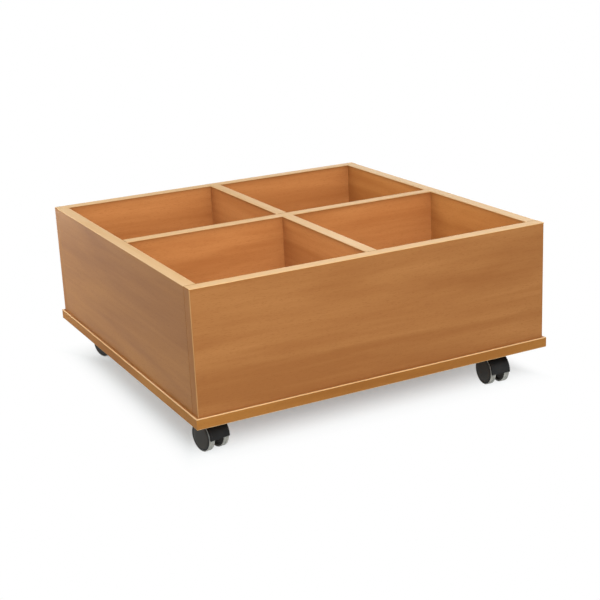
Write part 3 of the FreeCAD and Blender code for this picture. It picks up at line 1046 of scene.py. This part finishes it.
class BIN_OT_studio(bpy.types.Operator):
    """Set up the white floor, the lamps and the camera"""

    bl_idname = "browser_bin.studio"
    bl_label = "Studio"

    floor_size = 60.0
    # How far outside the bin's box the floor is plain white, and how wide the fade to it is
    front_reach = 21.0 * MM
    side_reach = 28.0 * MM
    fade = 178.0 * MM
    # How many times narrower the fade is at the sides
    side_steepness = 2.4
    inside_size = 300.0 * MM

    def add_floor(self, studio):
        """Wide pale floor under the bin, which the camera sees as white round its shadow."""
        bpy.ops.object.select_all(action="DESELECT")
        bpy.ops.mesh.primitive_plane_add(size=self.floor_size, location=(0.0, 0.0, 0.0))
        floor = new_primitive("studio_floor")
        recipe = Recipe("studio_floor")
        mottle = recipe.spread(recipe.noise(3.0), *WIDE_RANGE)
        tone = recipe.mix(mottle, studio.floor_color[:], shade(studio.floor_color, 1.02))
        recipe.finish(Base_Color=tone, Roughness=0.9, Specular_IOR_Level=FLOOR_GLOSS)
        seen = self.seen_rays(recipe.tree)
        glow = recipe.node("ShaderNodeEmission", Strength=1.0)
        share = recipe.math("MULTIPLY", seen, self.glow_share(recipe, studio))
        both = recipe.node("ShaderNodeMixShader", _0=share, _1=recipe.shader, _2=glow)
        output = recipe.tree.nodes["Material Output"]
        recipe.tree.links.new(both.outputs[0], output.inputs["Surface"])
        floor.data.materials.append(recipe.material)

    def glow_share(self, recipe, studio):
        """Least glow in the middle of the bin's footprint, rising to plain white outside it."""
        x, y, _ = CAD_BOX[1]
        place = recipe.node("ShaderNodeSeparateXYZ", Vector=recipe.coords())
        side = recipe.math("ABSOLUTE", place.outputs["X"])
        front = recipe.math("ABSOLUTE", place.outputs["Y"])
        side = recipe.math("SUBTRACT", side, x + self.side_reach)
        side = recipe.math("MULTIPLY", side, self.side_steepness)
        front = recipe.math("SUBTRACT", front, y + self.front_reach)
        edge = recipe.math("MAXIMUM", side, front)
        share = recipe.spread(edge, -self.fade, 0.0, studio.floor_glow, 1.0)
        share.interpolation_type = "SMOOTHSTEP"
        return share

    def seen_rays(self, tree):
        """1 for what the camera sees, straight or in gloss and glass, and 0 for other light."""
        rays = tree.nodes.new("ShaderNodeLightPath")
        seen = rays.outputs["Is Camera Ray"]
        for ray in ("Is Glossy Ray", "Is Transmission Ray"):
            either = tree.nodes.new("ShaderNodeMath")
            either.operation = "MAXIMUM"
            tree.links.new(seen, either.inputs[0])
            tree.links.new(rays.outputs[ray], either.inputs[1])
            seen = either.outputs[0]
        return seen

    def add_sun(self, name, strength, spread, elevation, azimuth):
        """Large soft light from far away; its angles are in degrees."""
        bpy.ops.object.light_add(type="SUN", location=(0.0, 0.0, 3.0))
        lamp = bpy.context.object
        lamp.name = name
        lamp.data.energy = strength
        lamp.data.angle = math.radians(spread)
        lamp.rotation_euler = (RIGHT_ANGLE - math.radians(elevation), 0.0, math.radians(azimuth))

    def add_square_lamp(self, name, power, size, spot, turn=(0.0, 0.0, 0.0)):
        """Square lamp that the camera doesn't see; it shines down unless it is turned."""
        bpy.ops.object.light_add(type="AREA", location=spot, rotation=turn)
        lamp = bpy.context.object
        lamp.name = name
        lamp.data.shape = "SQUARE"
        lamp.data.size = size
        lamp.data.energy = power
        lamp.visible_camera = False
        return lamp

    def add_softbox(self, name, power, size, distance, elevation, azimuth):
        """Square lamp that faces the bin; its angles are in degrees."""
        round_bin = Matrix.Rotation(math.radians(azimuth), 4, "Z")
        turn = round_bin @ Matrix.Rotation(RIGHT_ANGLE - math.radians(elevation), 4, "X")
        spot = turn @ Vector((0.0, 0.0, distance))
        self.add_square_lamp(name, power, size, spot, turn.to_euler())

    def add_inside_lights(self, power):
        """One lamp in the mouth of each compartment, for the light that books would throw."""
        x, y = middle("right_panel").x / 2, middle("back_panel").y / 2
        height = CAD_BOX[1].z - MM
        for row in (-y, y):
            for column in (-x, x):
                spot = (column, row, height)
                lamp = self.add_square_lamp("inside_light", power, self.inside_size, spot)
                lamp.visible_glossy = False

    def fill_world(self, studio):
        """Even room light, seen as white by the camera and in reflections."""
        world = bpy.context.scene.world or bpy.data.worlds.new("studio_world")
        bpy.context.scene.world = world
        world.use_nodes = True
        nodes, links = world.node_tree.nodes, world.node_tree.links
        background = nodes["Background"]
        background.inputs["Color"].default_value = (1.0, 1.0, 1.0, 1.0)
        level = nodes.new("ShaderNodeMapRange")
        level.inputs["To Min"].default_value = studio.room_strength
        level.inputs["To Max"].default_value = 1.0
        links.new(self.seen_rays(world.node_tree), level.inputs["Value"])
        links.new(level.outputs[0], background.inputs["Strength"])

    def add_camera(self, studio):
        """Camera in front of the bin, to its left and above it."""
        bpy.ops.object.camera_add(location=studio.camera_place)
        camera = bpy.context.object
        camera.name = "studio_camera"
        turn = (
            Matrix.Rotation(studio.camera_azimuth, 3, "Z")
            @ Matrix.Rotation(RIGHT_ANGLE - studio.camera_elevation, 3, "X")
            @ Matrix.Rotation(studio.camera_roll, 3, "Z")
        )
        camera.rotation_euler = turn.to_euler()
        camera.data.lens = studio.lens
        camera.data.sensor_width = 36.0
        camera.data.clip_end = 100.0
        camera.data.dof.use_dof = False
        bpy.context.scene.camera = camera

    def execute(self, context):
        studio = context.scene.bin_studio
        self.add_floor(studio)
        self.add_softbox(
            "key_light", studio.key_power, size=1.7, distance=2.9, elevation=42.0, azimuth=-14.0
        )
        self.add_softbox(
            "side_light", studio.side_power, size=1.0, distance=1.75, elevation=36.0,
            azimuth=-122.0,
        )
        self.add_softbox(
            "sheen_light", studio.sheen_power, size=0.5, distance=1.48, elevation=13.6,
            azimuth=-146.3,
        )
        self.add_softbox(
            "back_light", studio.back_power, size=1.6, distance=2.6, elevation=14.0,
            azimuth=138.0,
        )
        self.add_sun(
            "top_light", studio.top_strength, spread=120.0, elevation=84.0, azimuth=-60.0
        )
        self.add_inside_lights(studio.inside_power)
        self.fill_world(studio)
        self.add_camera(studio)
        context.scene.view_settings.view_transform = "Standard"
        return {"FINISHED"}


class BIN_PT_panel(bpy.types.Panel):
    """Lists the steps that dress the bin"""

    bl_idname = "BIN_PT_panel"
    bl_label = "Browser Bin"
    bl_space_type = "VIEW_3D"
    bl_region_type = "UI"
    bl_category = "Browser Bin"

    def draw(self, context):
        layout = self.layout
        for step in STEPS:
            layout.operator(step.bl_idname)
        for name in SETTINGS:
            settings = getattr(context.scene, name)
            box = layout.box()
            for item in settings.bl_rna.properties:
                if item.identifier not in ("rna_type", "name"):
                    box.prop(settings, item.identifier)


STEPS = (
    BIN_OT_boards, BIN_OT_edging, BIN_OT_wheels, BIN_OT_hoods, BIN_OT_fittings, BIN_OT_studio
)
SETTINGS = {"bin_boards": BoardFinish, "bin_castors": CastorFinish, "bin_studio": StudioSettings}


def register():
    """Register the settings, the steps and the panel."""
    for name, group in SETTINGS.items():
        bpy.utils.register_class(group)
        setattr(bpy.types.Scene, name, bpy.props.PointerProperty(type=group))
    for item in (*STEPS, BIN_PT_panel):
        bpy.utils.register_class(item)


def unregister():
    """Undo register."""
    for item in (BIN_PT_panel, *reversed(STEPS)):
        bpy.utils.unregister_class(item)
    for name, group in SETTINGS.items():
        delattr(bpy.types.Scene, name)
        bpy.utils.unregister_class(group)


def main():
    """Run every step."""
    register()
    for step in STEPS:
        group, action = step.bl_idname.split(".")
        getattr(getattr(bpy.ops, group), action)()
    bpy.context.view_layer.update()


if __name__ == "__main__":
    main()
